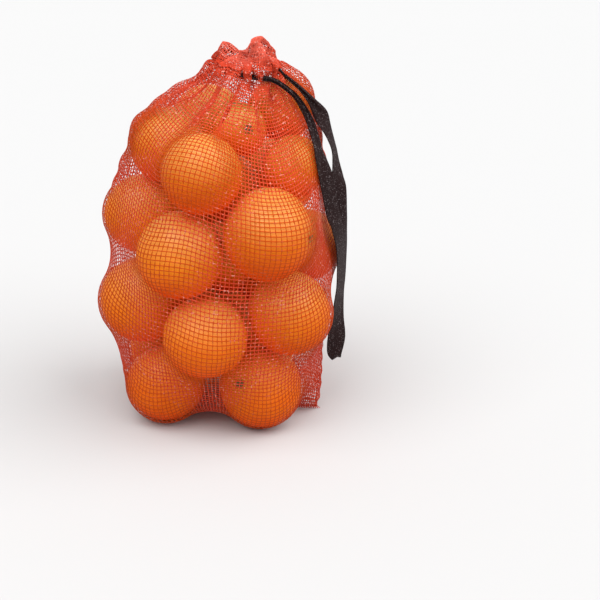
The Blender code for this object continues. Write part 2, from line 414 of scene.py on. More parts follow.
class SharedEffects:
    """Shader groups that more than one finish uses, each built once."""

    glint_edge = 9.0
    coarse_share = 0.65
    _built: dict[str, NodeTree] = {}

    @classmethod
    def glints(cls) -> NodeTree:
        """A mask of small scattered light spots on woven plastic yarn.

        Returns:
            A group with inputs Spots per metre and Rarity, and the output Mask.
        """
        if "glints" not in cls._built:
            inputs = {"Spots per metre": 600.0, "Rarity": 0.7}
            bench, entry, leave = new_group(
                "yarn_glints", "ShaderNodeTree", inputs, {"Mask": "Float"}
            )
            scale = entry.outputs["Spots per metre"]
            noise = bench.pattern("ShaderNodeTexNoise", Scale=scale, Detail=1.0, Roughness=0.5)
            above = bench.minus(noise.outputs[0], entry.outputs["Rarity"])
            floored = bench.maths("MAXIMUM", bench.times(above, cls.glint_edge), 0.0)
            bench.put(leave.inputs["Mask"], bench.maths("MINIMUM", floored, 1.0))
            cls._built["glints"] = bench.tree
        return cls._built["glints"]

    @classmethod
    def mottle(cls) -> NodeTree:
        """A soft value that drifts over a surface at two sizes.

        Returns:
            A group with inputs Coarse and Fine, in waves per metre, and the output Value.
        """
        if "mottle" not in cls._built:
            inputs = {"Coarse": 30.0, "Fine": 220.0}
            bench, entry, leave = new_group(
                "mottle", "ShaderNodeTree", inputs, {"Value": "Float"}
            )
            coarse, fine = (
                bench.pattern("ShaderNodeTexNoise", Scale=scale, Detail=2.0).outputs[0]
                for scale in (entry.outputs["Coarse"], entry.outputs["Fine"])
            )
            parts = bench.times(coarse, cls.coarse_share), bench.times(fine, 1 - cls.coarse_share)
            bench.put(leave.inputs["Value"], bench.plus(*parts))
            cls._built["mottle"] = bench.tree
        return cls._built["mottle"]


class Finish:
    """A Principled material, built node by node."""

    def __init__(self, name: str) -> None:
        """Starts a material with only its shader and its output.

        Args:
            name: the material's name.
        """
        self.material = bpy.data.materials.new(name)
        self.material.use_nodes = True
        self.bench = NodeBench(self.material.node_tree)
        self.shader = self.material.node_tree.nodes["Principled BSDF"]

    def mottle(self, coarse: float, fine: float) -> NodeSocket:
        """Places the drifting value.

        Args:
            coarse: waves per metre of the larger drift.
            fine: waves per metre of the smaller one.

        Returns:
            The value, from 0 to 1.
        """
        values = {"Coarse": coarse, "Fine": fine}
        group = SharedEffects.mottle()
        return self.bench.add("ShaderNodeGroup", values, node_tree=group).outputs[0]

    def glints(self, spots: float, rarity: float) -> NodeSocket:
        """Places the mask of light spots.

        Args:
            spots: how many spots there are to a metre.
            rarity: how few of them show, from 0 to 1.

        Returns:
            The mask, 1 on a spot.
        """
        values = {"Spots per metre": spots, "Rarity": rarity}
        group = SharedEffects.glints()
        return self.bench.add("ShaderNodeGroup", values, node_tree=group).outputs[0]

    def set(self, **values: object) -> None:
        """Sets or feeds the shader's inputs, with underscores for the spaces in their names."""
        for name, value in values.items():
            self.bench.put(self.shader.inputs[name.replace("_", " ")], value)

    def bump(self, height: NodeSocket, strength: float, distance: float) -> None:
        """Raises the surface by a height from 0 to 1, which is at most a distance in metres."""
        values = {"Strength": strength, "Distance": distance, "Height": height}
        self.set(Normal=self.bench.add("ShaderNodeBump", values).outputs["Normal"])


@dataclass(frozen=True)
class PeelFinish:
    """Ripe orange peel: oil pores, a soft sheen on the sunny side, and a greener patch round the
    stem, with painted shade under each fruit and on the fruit low in the bag, and a painted
    highlight on the sunny tops.
    """

    deep: Colour = (0.77, 0.155, 0.010)
    bright: Colour = (0.98, 0.345, 0.02)
    shaded: Colour = (0.95, 0.080, 0.003)
    sunny: Colour = (1.0, 0.50, 0.10)
    stem_green: Colour = (0.50, 0.30, 0.03)
    mottle_waves: tuple[float, float] = (24.0, 160.0)
    mottle_marks: tuple[float, float] = (0.32, 0.68)
    tone_share: float = 0.6
    shade_marks: tuple[float, float] = (0.58, 0.12)
    sun_marks: tuple[float, float] = (0.58, 0.98)
    low_shade: float = 0.45
    green_share: float = 0.6
    sheen: float = 0.8
    sheen_roughness: float = 0.30
    roughness: float = 0.34
    roughness_drift: float = 0.16
    pore_shade: float = 0.14
    pore_edge: float = 0.62
    pores_per_metre: float = 620.0
    pore_strength: float = 0.42
    pore_depth: float = 0.00035

    def material(self) -> Material:
        """Builds the material.

        Returns:
            The finished material.
        """
        finish = Finish("orange_peel")
        bench = finish.bench
        mottle = finish.mottle(*self.mottle_waves)
        drift = bench.plus(
            bench.times(bench.ranged(mottle, *self.mottle_marks), 1 - self.tone_share),
            bench.times(bench.attribute("fruit_tone"), self.tone_share),
        )
        peel = bench.blend(drift, self.deep, self.bright)
        # Painted shade: the colour turns to the shaded one on each fruit's underside and on the
        # fruit low in the bag.
        side = bench.attribute("sunny_side")
        height = bench.attribute("painted_light_by_height")
        low = bench.times(bench.minus(1.0, height), self.low_shade)
        painted_shade = bench.maths("MAXIMUM", bench.ranged(side, *self.shade_marks), low)
        peel = bench.blend(painted_shade, peel, self.shaded)
        # Painted highlight: the colour turns to the sunny one on the tops of the higher fruit,
        # where the coat also goes.
        sun = bench.times(bench.ranged(side, *self.sun_marks), height)
        peel = bench.blend(sun, peel, self.sunny)
        green = bench.times(bench.attribute("stem_patch"), self.green_share)
        peel = bench.blend(green, peel, self.stem_green)
        pores = bench.pattern("ShaderNodeTexVoronoi", Scale=self.pores_per_metre, Randomness=1.0)
        dimple = bench.ranged(pores.outputs["Distance"], 0.0, self.pore_edge)
        shade = bench.times(bench.minus(1.0, dimple), self.pore_shade)
        finish.set(
            Base_Color=bench.blend(shade, peel, self.deep),
            Roughness=bench.plus(bench.times(mottle, self.roughness_drift), self.roughness),
            IOR=1.42,
            Specular_IOR_Level=0.06,
            Coat_Roughness=self.sheen_roughness,
            Coat_Weight=bench.times(sun, self.sheen),
        )
        finish.bump(dimple, self.pore_strength, self.pore_depth)
        return finish.material


@dataclass(frozen=True)
class CalyxFinish:
    """The dry grey-green button at a fruit's stem end."""

    green: Colour = (0.16, 0.17, 0.06)
    brown: Colour = (0.20, 0.12, 0.05)
    mottle_waves: tuple[float, float] = (300.0, 1500.0)
    mottle_marks: tuple[float, float] = (0.35, 0.65)

    def material(self) -> Material:
        """Builds the material.

        Returns:
            The finished material.
        """
        finish = Finish("stem_button")
        mottle = finish.mottle(*self.mottle_waves)
        share = finish.bench.ranged(mottle, *self.mottle_marks)
        finish.set(Base_Color=finish.bench.blend(share, self.green, self.brown), Roughness=0.8)
        finish.bump(mottle, 0.5, 0.0004)
        return finish.material


@dataclass(frozen=True)
class YarnFinish:
    """Shiny flat tape yarn of red plastic, with painted orange light where fruit lies behind it,
    painted paler light on the ruffle, and painted glint spots.
    """

    deep: Colour = (0.56, 0.040, 0.016)
    bright: Colour = (0.72, 0.080, 0.036)
    painted_bounce: Colour = (0.54, 0.072, 0.002)
    glint: Colour = (0.95, 0.44, 0.36)
    pale: Colour = (0.86, 0.24, 0.18)
    mottle_waves: tuple[float, float] = (45.0, 500.0)
    spots_per_metre: float = 520.0
    rarity: float = 0.61
    painted_bounce_share: float = 0.8
    glint_share: float = 0.8
    glint_lost: float = 0.7
    roughness: float = 0.40
    glint_polish: float = 0.12

    def material(self) -> Material:
        """Builds the material.

        Returns:
            The finished material.
        """
        finish = Finish("red_net_yarn")
        bench = finish.bench
        mottle = finish.mottle(*self.mottle_waves)
        tone = bench.times(bench.attribute("yarn_tone"), 0.5)
        share = bench.plus(tone, bench.times(mottle, 0.5))
        red = bench.blend(share, self.deep, self.bright)
        # Painted light: the yarn turns orange near the fruit, as if lit by light from the peel.
        glow = bench.attribute("painted_fruit_light")
        red = bench.blend(bench.times(glow, self.painted_bounce_share), red, self.painted_bounce)
        # Painted light: the ruffle above the neck turns paler.
        red = bench.blend(bench.attribute("painted_ruffle_light"), red, self.pale)
        # Painted highlight: pale glint spots in the colour, fewer where fruit lies behind, on
        # shinier spots.
        spots = finish.glints(self.spots_per_metre, self.rarity)
        left = bench.minus(self.glint_share, bench.times(glow, self.glint_lost))
        finish.set(
            Base_Color=bench.blend(bench.times(spots, left), red, self.glint),
            Roughness=bench.minus(self.roughness, bench.times(spots, self.glint_polish)),
            IOR=1.45,
            Specular_IOR_Level=0.05,
        )
        return finish.material


@dataclass(frozen=True)
class TapeFinish:
    """Black woven tape with small light glints where its yarns catch the light."""

    black: Colour = (0.014, 0.006, 0.006)
    worn: Colour = (0.026, 0.011, 0.011)
    glint: Colour = (0.34, 0.29, 0.30)
    mottle_waves: tuple[float, float] = (60.0, 900.0)
    spots_per_metre: float = 1150.0
    rarity: float = 0.60
    glint_share: float = 0.8
    roughness: float = 0.55
    glint_polish: float = 0.25

    def material(self) -> Material:
        """Builds the material.

        Returns:
            The finished material.
        """
        finish = Finish("black_woven_tape")
        bench = finish.bench
        raised = bench.attribute("weave_height")
        mottle = finish.mottle(*self.mottle_waves)
        base = bench.blend(bench.times(raised, mottle), self.black, self.worn)
        # Painted highlight: light glint spots in the colour, on the raised yarns, which are also
        # shinier there.
        shown = bench.times(finish.glints(self.spots_per_metre, self.rarity), raised)
        finish.set(
            Base_Color=bench.blend(bench.times(shown, self.glint_share), base, self.glint),
            Roughness=bench.minus(self.roughness, bench.times(shown, self.glint_polish)),
            Specular_IOR_Level=0.08,
        )
        finish.bump(mottle, 0.25, 0.0002)
        return finish.material


@dataclass(frozen=True)
class FloorFinish:
    """Plain white studio floor."""

    white: Colour = (0.585, 0.585, 0.585)

    def material(self) -> Material:
        """Builds the material.

        Returns:
            The finished material.
        """
        finish = Finish("studio_floor")
        finish.set(Base_Color=self.white, Roughness=0.9, Specular_IOR_Level=0.1)
        return finish.material


# ---------------------------------------------------------------------------- fruit


@dataclass
class Oranges:
    """The oranges that fill the bag, with their stem ends."""

    cells: int = 22
    seed: int = 11
    shape_seed: int = 2525
    squash: tuple[float, float] = (0.93, 0.985)
    lump: float = 0.5
    lump_waves: float = 2.2
    stem_dip: float = 1.5
    stem_reach: float = 0.30
    stem_ribs: int = 8
    green_reach: float = 0.22
    front: Colour = (0.0, -0.93, 0.37)
    sun_way: Colour = (0.05, -0.15, 1.0)
    shade_base: float = 20.0
    shade_rise: float = 150.0
    least_light: float = 0.3
    button_radius: float = 3.6
    button_depth: float = 0.955
    button_lift: float = 1.1
    spokes: int = 40
    rings: int = 5
    middles: ndarray = field(init=False)
    radii: ndarray = field(init=False)
    stems: ndarray = field(init=False)

    def __post_init__(self) -> None:
        """Finds where the fruit lie and which way their stems point."""
        table = np.array(FRUIT, float)
        self.middles = table[:, :3]
        self.radii = table[:, 3]
        self.stems = self._stem_ways()

    def _stem_ways(self) -> ndarray:
        """The ways the stems point, mostly turned away from the bag's front.

        Returns:
            A unit vector for each fruit.
        """
        chance = np.random.default_rng(self.seed)
        ways = unit(chance.normal(size=(len(self.radii), 3)))
        front = np.array(self.front)
        for index, way in enumerate(ways):
            facing = float(way @ front)
            if facing > 0.0:
                ways[index] = unit(way - 2 * facing * front)
        for index, way in SHOWN_STEMS:
            ways[index] = unit(np.array(way))
        return ways

    def _ball(self) -> tuple[ndarray, ndarray]:
        """A ball of six square grids, with their shared edges merged.

        Returns:
            The unit points and the quads.
        """
        side_points = self.cells + 1
        steps = np.tan(np.linspace(-1, 1, side_points) * math.pi / 4)
        across, along = np.meshgrid(steps, steps, indexing="ij")
        level = np.ones_like(across)
        sides, faces = [], []
        for axis in range(3):
            for sign in (-1, 1):
                parts = [across, along * sign, level * sign]
                turned = [parts[(2 - axis + place) % 3] for place in range(3)]
                faces.append(grid_faces(side_points, side_points, len(sides) * side_points**2))
                sides.append(np.stack(turned, axis=-1).reshape(-1, 3))
        points = unit(np.concatenate(sides))
        _, first, merged = np.unique(
            np.round(points, 5), axis=0, return_index=True, return_inverse=True
        )
        faces = merged.reshape(-1)[np.concatenate(faces)]
        points = points[first]
        corners = points[faces]
        turn = np.cross(corners[:, 1] - corners[:, 0], corners[:, 2] - corners[:, 0])
        inward = np.einsum("ij,ij->i", turn, corners.mean(axis=1)) < 0
        faces[inward] = faces[inward][:, ::-1]
        return points, faces

    def build(self) -> Object:
        """Builds all the fruit as one piece.

        Returns:
            The finished piece.
        """
        chance = np.random.default_rng(self.shape_seed)
        ball, quads = self._ball()
        points, faces = [], []
        marks = {"fruit_tone": [], "stem_patch": [], "sunny_side": [], "painted_light_by_height": []}
        for index, (middle, radius, stem) in enumerate(zip(self.middles, self.radii, self.stems)):
            height = ball @ stem
            flat = ball - height[:, None] * stem
            shape = flat + height[:, None] * stem * chance.uniform(*self.squash)
            waves = chance.normal(size=(4, 3)) * self.lump_waves
            lumps = sum(np.sin(ball @ wave + chance.uniform(0, 6)) for wave in waves)
            reach = np.linalg.norm(flat, axis=1)
            dip = np.exp(-((reach / self.stem_reach) ** 2)) * self.stem_dip * (np.abs(height) > 0.5)
            side = self._side(stem)
            ribs = np.cos(self.stem_ribs * np.arctan2(flat @ side, flat @ np.cross(stem, side)))
            ribbed = 1 + 0.25 * ribs * np.clip(reach / self.stem_reach, 0, 1)
            dip *= np.where(height > 0, ribbed, 0.45)
            size = radius - self.lump + lumps[:, None] * self.lump / len(waves)
            placed = middle + shape * size - ball * dip[:, None]
            points.append(placed)
            faces.append(quads + index * len(ball))
            # Painted light: how much light the peel's colour shows (less for fruit low in the bag),
            # and which side of each fruit faces the light.
            light = smooth_step((placed[:, 2] - self.shade_base) / self.shade_rise)
            patch = np.exp(-((reach / self.green_reach) ** 2))
            marks["fruit_tone"].append(np.full(len(ball), chance.uniform(0, 1)))
            marks["stem_patch"].append(np.where(height > 0, patch, 0))
            marks["sunny_side"].append(0.5 + 0.5 * ball @ unit(np.array(self.sun_way)))
            marks["painted_light_by_height"].append(self.least_light + (1 - self.least_light) * light)
        mesh = mesh_from("oranges", np.concatenate(points), np.concatenate(faces).tolist())
        for name, parts in marks.items():
            store(mesh, name, np.concatenate(parts))
        piece = add_piece("oranges", mesh, PeelFinish().material())
        settle(piece, "filled_net")
        return piece

    @staticmethod
    def _side(stem: ndarray) -> ndarray:
        """A unit vector square to a stem."""
        helper = np.array([1.0, 0.0, 0.0] if abs(stem[0]) < 0.8 else [0.0, 1.0, 0.0])
        return unit(np.cross(stem, helper))

    def _button_faces(self, start: int) -> list[list[int]]:
        """The faces of one button, whose first point is its middle.

        Args:
            start: the index of that point.

        Returns:
            Its triangles and quads.
        """
        faces = []
        for spoke in range(self.spokes):
            after = (spoke + 1) % self.spokes
            faces.append([start, start + 1 + spoke, start + 1 + after])
            for ring in range(self.rings - 1):
                low = start + 1 + ring * self.spokes
                high = low + self.spokes
                faces.append([low + spoke, high + spoke, high + after, low + after])
        return faces

    def build_buttons(self) -> Object:
        """Builds the five-lobed stem buttons as one piece.

        Returns:
            The finished piece.
        """
        chance = np.random.default_rng(self.seed + 2)
        angles = np.arange(self.spokes) * (TURN / self.spokes)
        points, faces = [], []
        for middle, radius, stem in zip(self.middles, self.radii, self.stems):
            side = self._side(stem)
            other = np.cross(stem, side)
            size = self.button_radius * chance.uniform(0.85, 1.15)
            lobes = 0.62 + 0.38 * np.abs(np.cos(2.5 * angles + chance.uniform(0, 3))) ** 0.8
            base = middle + stem * (radius * self.button_depth - self.stem_dip)
            way = side[None] * np.cos(angles)[:, None] + other[None] * np.sin(angles)[:, None]
            faces += self._button_faces(len(points))
            points.append(base + stem * 0.9)
            for ring in range(1, self.rings + 1):
                share = ring / self.rings
                reach = size * share * (1 + (lobes - 1) * share)
                lift = self.button_lift - 0.5 * share
                lift = lift + 0.5 * np.cos(5 * angles) * share * (1 - share)
                if ring == 1:
                    lift = lift - 0.7
                points.extend(base + way * reach[:, None] + stem * lift[:, None])
        mesh = mesh_from("stem_buttons", np.array(points), faces)
        piece = add_piece("stem_buttons", mesh, CalyxFinish().material())
        settle(piece, "filled_net")
        return piece


# ---------------------------------------------------------------------------- net


@dataclass(frozen=True)
class LyingFold:
    """A fold of cloth that lies over to one side, below the gathered neck.

    Fields:
        degrees: where it starts, round the neck from the right side.
        width: half of its width round the bag, in degrees.
        overlap: how far it doubles the cloth; above 1 its layers lie over each other.
        reach: how far below the neck it has faded out.
        sweep: how many degrees it wanders in 100 mm.
        side: 1 where its edge faces round towards the back, -1 for the other way.
    """

    degrees: float
    width: float
    overlap: float
    reach: float
    sweep: float
    side: int


SHOULDER_FOLDS = (
    LyingFold(14, 26, 0.62, 95, 0, 1),
    LyingFold(58, 11, 1.5, 85, -8, -1),
    LyingFold(88, 12, 1.6, 85, 12, 1),
    LyingFold(121, 12, 1.8, 90, 6, -1),
    LyingFold(150, 11, 1.9, 100, -10, 1),
    LyingFold(186, 22, 0.86, 185, 0, -1),
    LyingFold(214, 9, 1.9, 60, -14, 1),
    LyingFold(234, 9, 2.2, 78, -8, 1),
    LyingFold(256, 9, 2.3, 72, -6, -1),
    LyingFold(283, 9, 1.8, 58, 10, 1),
    LyingFold(311, 8, 1.3, 30, 16, -1),
    LyingFold(250, 22, 0.28, 165, 0, 1),
    LyingFold(328, 18, 0.20, 110, 0, 1),
)


@dataclass
class NetForm:
    """The lattice of places where the net's round and upright yarns cross."""

    columns: int = 168
    rows: int = 112
    top_bunching: float = 0.25
    coarse: int = 3
    cloth_offset: float = 0.75
    slack_offset: float = -0.6
    seam_right: tuple[float, float, float] = (86.0, -9.0, 0.0)
    seam_left: tuple[float, float, float] = (-76.0, 0.0, 0.0)
    start_radius: float = 125.0
    start_height: float = 300.0
    start_power: float = 0.35
    coarse_sweeps: int = 1500
    fine_sweeps: int = 120
    respace_every: int = 50
    floor_lift: float = 0.6
    neck_x: float = 23.0
    neck_z: float = 295.0
    neck_slope_x: float = -0.12
    neck_slope_y: float = 0.05
    neck_radius: float = 24.0
    neck_half_height: float = 4.6
    neck_rows: int = 3
    neck_curve: float = 18.0
    cover: float = 3.4
    cover_middle: float = 157.0
    cinch: float = 1.2
    pleats: int = 14
    pleat_depth: float = 9.0
    pleat_fade: float = 24.0
    fold_depth: float = 3.0
    fold_fade: float = 62.0
    fold_lift: float = 2.2
    fold_start: float = 4.0
    crumple: float = 1.5
    crumple_length: float = 8.0
    crumple_rows: int = 9
    crumple_seed: int = 21
    collar_lift: float = 9.0
    collar_lean: float = 0.25
    ruffle_rows: int = 8
    ruffle_base: float = 5.5
    # The ruffle's two ears: height, the angle of the middle and half the width, in degrees.
    right_ear: tuple[float, float, float] = (12.5, 56.0, 32.0)
    left_ear: tuple[float, float, float] = (8.5, 180.0, 18.0)
    lobe_depth: float = 12.0
    lobes: int = 3
    curl_rows: int = 3
    # How the painted light on the yarn spreads: orange light out from the fruit, and paler light up
    # the ruffle.
    glow_reach: float = 5.0
    pale_rows: int = 5
    pale_share: float = 0.28
    points: ndarray = field(init=False)
    normals: ndarray = field(init=False)
    lateral: ndarray = field(init=False)
    shades: dict[str, ndarray] = field(init=False)

    def angles(self) -> ndarray:
        """Angles of the upright yarns, from the right edge round the back."""
        return np.arange(self.columns) * (TURN / self.columns)

    def tilted(self, across: ndarray, along: ndarray, lift: float) -> ndarray:
        """Points on the neck's tilted plane.

        Args:
            across: offsets along X from the neck's middle.
            along: offsets along Y.
            lift: heights above the plane.

        Returns:
            The points.
        """
        height = self.neck_z + self.neck_slope_x * across + self.neck_slope_y * along + lift
        return np.stack([self.neck_x + across, along, height], axis=-1)

    def pleat_wave(self, angles: ndarray) -> ndarray:
        """How deep the gathers are.

        Args:
            angles: places round the neck.

        Returns:
            0 on their round crests, down to -1 in their sharp creases.
        """
        bent = angles + 0.09 * np.sin(3 * angles + 0.8) + 0.06 * np.sin(5 * angles + 2.1)
        ridge = np.abs(np.sin(self.pleats * bent / 2)) ** 0.5
        depth = 0.82 + 0.18 * np.sin(4 * angles + 0.5)
        return (ridge - 1) * depth

    def crest_radius(self, angles: ndarray) -> ndarray:
        """How far out the gathers stand round the neck, to hide the tape until it comes out."""
        hiding = smooth_step((np.cos(angles - math.radians(self.cover_middle)) + 0.77) / 0.15)
        return self.neck_radius + self.cover * hiding

    def _below_neck(self, cloth: ndarray) -> ndarray:
        """How far below the neck each point is, along its upright yarn."""
        steps = np.linalg.norm(np.diff(cloth, axis=0), axis=2)
        return np.concatenate([np.cumsum(steps[::-1], axis=0)[::-1], np.zeros((1, self.columns))])

    def _starting_cloth(self, columns: int, rows: int) -> ndarray:
        """A roomy sack round all the fruit, from the seam up to the neck.

        Args:
            columns: how many upright lines it has.
            rows: how many rings it has.

        Returns:
            Its points, ring by ring from the bottom up.
        """
        angles = np.arange(columns) * (TURN / columns)
        turn = np.abs(1 - 2 * np.arange(columns) / columns)[:, None]
        right, left = np.array(self.seam_right), np.array(self.seam_left)
        low = between(left, right, turn)
        mean = self.neck_radius - 0.4 * self.pleat_depth
        high = self.tilted(mean * np.cos(angles), mean * np.sin(angles), -self.neck_half_height)
        middle = (right + left) / 2
        ring = np.zeros((columns, 3))
        ring[:, 0] = middle[0] + self.start_radius * np.cos(angles)
        ring[:, 1] = middle[1] + self.start_radius * np.sin(angles)
        cloth = np.zeros((rows, columns, 3))
        for row in range(rows):
            share = row / (rows - 1)
            ring[:, 2] = self.start_height * share
            swell = math.sin(math.pi * share) ** self.start_power
            cloth[row] = between(between(low, high, share), ring, swell)
        cloth[0] = low
        cloth[-1] = high
        return cloth

    def _push_out(self, points: ndarray, middles: ndarray, radii: ndarray) -> None:
        """Moves every point that is inside a ball to that ball's surface.

        Args:
            points: the points, which are moved where they are kept.
            middles: the middles of the balls.
            radii: their radii.
        """
        flat = points.reshape(-1, 3)
        for middle, radius in zip(middles, radii):
            near = np.abs(flat[:, 2] - middle[2]) < radius
            away = flat[near] - middle
            distance = np.linalg.norm(away, axis=1)
            inside = distance < radius
            scale = (radius / np.maximum(distance[inside], 1e-6))[:, None]
            flat[np.flatnonzero(near)[inside]] = middle + away[inside] * scale

    def _pull_taut(
        self, cloth: ndarray, sweeps: int, middles: ndarray, radii: ndarray
    ) -> ndarray:
        """Shortens the yarns until the fruit and the floor stop them.

        Args:
            cloth: the rows and columns of points.
            sweeps: how many times every point moves.
            middles: the middles of the balls inside.
            radii: their radii.

        Returns:
            The taut cloth.
        """
        rows, columns = cloth.shape[:2]
        for sweep in range(sweeps):
            inner = cloth[1:-1]
            around = np.roll(inner, 1, axis=1) + np.roll(inner, -1, axis=1)
            inner += 0.25 * (around + cloth[:-2] + cloth[2:]) - inner
            self._push_out(inner, middles, radii)
            inner[:, :, 2] = np.maximum(inner[:, :, 2], 0)
            if sweep % self.respace_every == 0:
                for column in range(columns):
                    cloth[:, column] = respace(cloth[:, column], rows)
        return cloth

    def _refined(self, cloth: ndarray) -> ndarray:
        """The coarse cloth with more rows and columns between the ones it has.

        Args:
            cloth: the rows and columns of points.

        Returns:
            The finer cloth.
        """
        closed = np.concatenate([cloth, cloth[:, :1]], axis=1)
        share = np.arange(self.coarse)[None, None, :, None] / self.coarse
        wide = between(closed[:, :-1, None], closed[:, 1:, None], share)
        wide = wide.reshape(cloth.shape[0], -1, 3)
        return np.stack(
            [respace(wide[:, column], self.rows) for column in range(self.columns)], axis=1
        )

    def _bunched_up(self, cloth: ndarray) -> ndarray:
        """The cloth with its round yarns closer together towards the neck.

        Args:
            cloth: the rows and columns of points.

        Returns:
            The cloth with its rows moved up.
        """
        share = np.linspace(0, 1, self.rows)
        places = (share + self.top_bunching * share**2 * (1 - share)) * (self.rows - 1)
        low = np.minimum(places.astype(int), self.rows - 2)
        return between(cloth[low], cloth[low + 1], (places - low)[:, None, None])

    def _surface_normals(self, cloth: ndarray) -> tuple[ndarray, ndarray]:
        """Which way the cloth faces and its round yarns run.

        Args:
            cloth: the rows and columns of points.

        Returns:
            Unit vectors outwards, and unit vectors along the round yarns.
        """
        around = np.roll(cloth, -1, axis=1) - np.roll(cloth, 1, axis=1)
        upward = np.gradient(cloth, axis=0)
        return unit(np.cross(around, upward)), unit(around)

    def _folded(self, cloth: ndarray, middles: ndarray, radii: ndarray) -> ndarray:
        """The cloth with the gathers that fan down from the neck.

        Args:
            cloth: the rows and columns of points.
            middles: the middles of the balls that stop the gathers.
            radii: their radii.

        Returns:
            The gathered cloth.
        """
        angles = self.angles()
        below = self._below_neck(cloth)
        normals, _ = self._surface_normals(cloth)
        radial = np.stack([np.cos(angles), np.sin(angles), np.zeros_like(angles)], axis=1)[None]
        outward = unit(between(radial, normals, smooth_step(below / self.neck_curve)[:, :, None]))
        sway = 0.10 * np.sin(below / 30.0)
        pleat = (self.pleat_wave(angles[None, :] + sway) + 0.4) * self.pleat_depth
        pleat = pleat * np.exp(-below / self.pleat_fade)
        drift = angles[None, :] + 0.25 * np.sin(below / 38.0 + 1.0)
        broad = np.cos(7 * drift + 0.9) + 0.7 * np.cos(11 * drift + 2.2)
        broad = broad * self.fold_depth * np.exp(-below / self.fold_fade)
        broad = broad * smooth_step(below / 14.0) * 0.5
        folded = cloth + outward * (pleat + broad)[:, :, None]
        folded[0] = cloth[0]
        self._push_out(folded[1:-1], middles, radii)
        return folded

    def _crumpled(self, points: ndarray, share: ndarray) -> ndarray:
        """Points shaken about by smooth waves, as bunched cloth is.

        Args:
            points: rows and columns of points.
            share: how much of the full amount each row gets.

        Returns:
            The moved points.
        """
        chance = np.random.default_rng(self.crumple_seed)
        moved = np.zeros_like(points)
        for _ in range(10):
            wave = chance.normal(0, 2.4 / self.crumple_length, 3)
            way = unit(chance.normal(size=3))
            moved += way * np.sin(points @ wave + chance.uniform(0, 6))[:, :, None]
        return points + moved * (self.crumple / math.sqrt(5)) * share[:, None, None]

    def _collared(self, cloth: ndarray) -> ndarray:
        """The cloth with its top pushed up over the tape on both sides.

        Args:
            cloth: the rows and columns of points.

        Returns:
            The raised cloth.
        """
        angles = self.angles()[None, :]
        left = smooth_step((np.cos(angles - math.radians(200)) - 0.4) / 0.35)
        right = 0.6 * smooth_step((np.cos(angles - math.radians(25)) - 0.5) / 0.35)
        top = np.exp(-(((self._below_neck(cloth) - 4) / 11) ** 2))
        lift = self.collar_lift * (left + right) * top
        raised = cloth.copy()
        raised[:, :, 2] += lift
        raised[:, :, 0] += self.collar_lean * lift * np.cos(angles)
        raised[:, :, 1] += self.collar_lean * lift * np.sin(angles)
        return raised

    def _laid_over(self, cloth: ndarray) -> ndarray:
        """The cloth with its shoulder folds laid over to their sides.

        Args:
            cloth: the rows and columns of points.

        Returns:
            The cloth with its folds.
        """
        angles = self.angles()[None, :]
        below = self._below_neck(cloth)
        slide = np.zeros_like(below)
        lift = np.zeros_like(below)
        for fold in SHOULDER_FOLDS:
            doubled = float(fold.overlap > 1)
            place = math.radians(fold.degrees) + np.radians(fold.sweep) * below / 100
            width = math.radians(fold.width)
            share = turned_away(angles, place) / width
            bump = np.exp(-(share**2) / 2)
            bend = share * bump
            gone = smooth_step((below - 0.25 * fold.reach) / (0.75 * fold.reach))
            fade = smooth_step((below - self.fold_start) / 16) * (1 - gone)
            slide -= fold.overlap * fade * width * bend
            lift += doubled * self.fold_lift * fade * (0.6 * bump - fold.side * bend)
        spot = ((angles + slide) / TURN * self.columns) % self.columns
        low = np.floor(spot).astype(int) % self.columns
        high = (low + 1) % self.columns
        part = (spot - np.floor(spot))[:, :, None]
        row = np.arange(len(cloth))[:, None]
        normals, _ = self._surface_normals(cloth)
        slid = between(cloth[row, low], cloth[row, high], part)
        out = unit(between(normals[row, low], normals[row, high], part))
        return slid + out * np.maximum(lift, 0)[:, :, None]

    def _neck_rings(self) -> list[ndarray]:
        """Rings through the tied neck, a little slimmer under the tape.

        Returns:
            The points of each ring, from the bottom up.
        """
        angles = self.angles()
        rings = []
        for row in range(1, self.neck_rows + 1):
            lift = self.neck_half_height * (2 * row / self.neck_rows - 1)
            waist = self.cinch * math.cos(0.5 * math.pi * lift / self.neck_half_height)
            depth = self.pleat_depth * self.pleat_wave(angles)
            radius = self.crest_radius(angles) - waist + depth
            rings.append(self.tilted(radius * np.cos(angles), radius * np.sin(angles), lift))
        return rings

    def _ruffle_height(self, angles: ndarray) -> ndarray:
        """How high the ruffle stands, with its wide right ear and its left one.

        Args:
            angles: places round the neck.

        Returns:
            The height at each of them.
        """
        away = np.degrees(np.abs(turned_away(angles, 0.0)))
        height = np.full(len(angles), self.ruffle_base)
        for ear, middle, half_width in (self.right_ear, self.left_ear):
            height = height + ear * np.exp(-(((away - middle) / half_width) ** 4))
        return height + 0.8 * np.cos(7 * angles + 1.0)

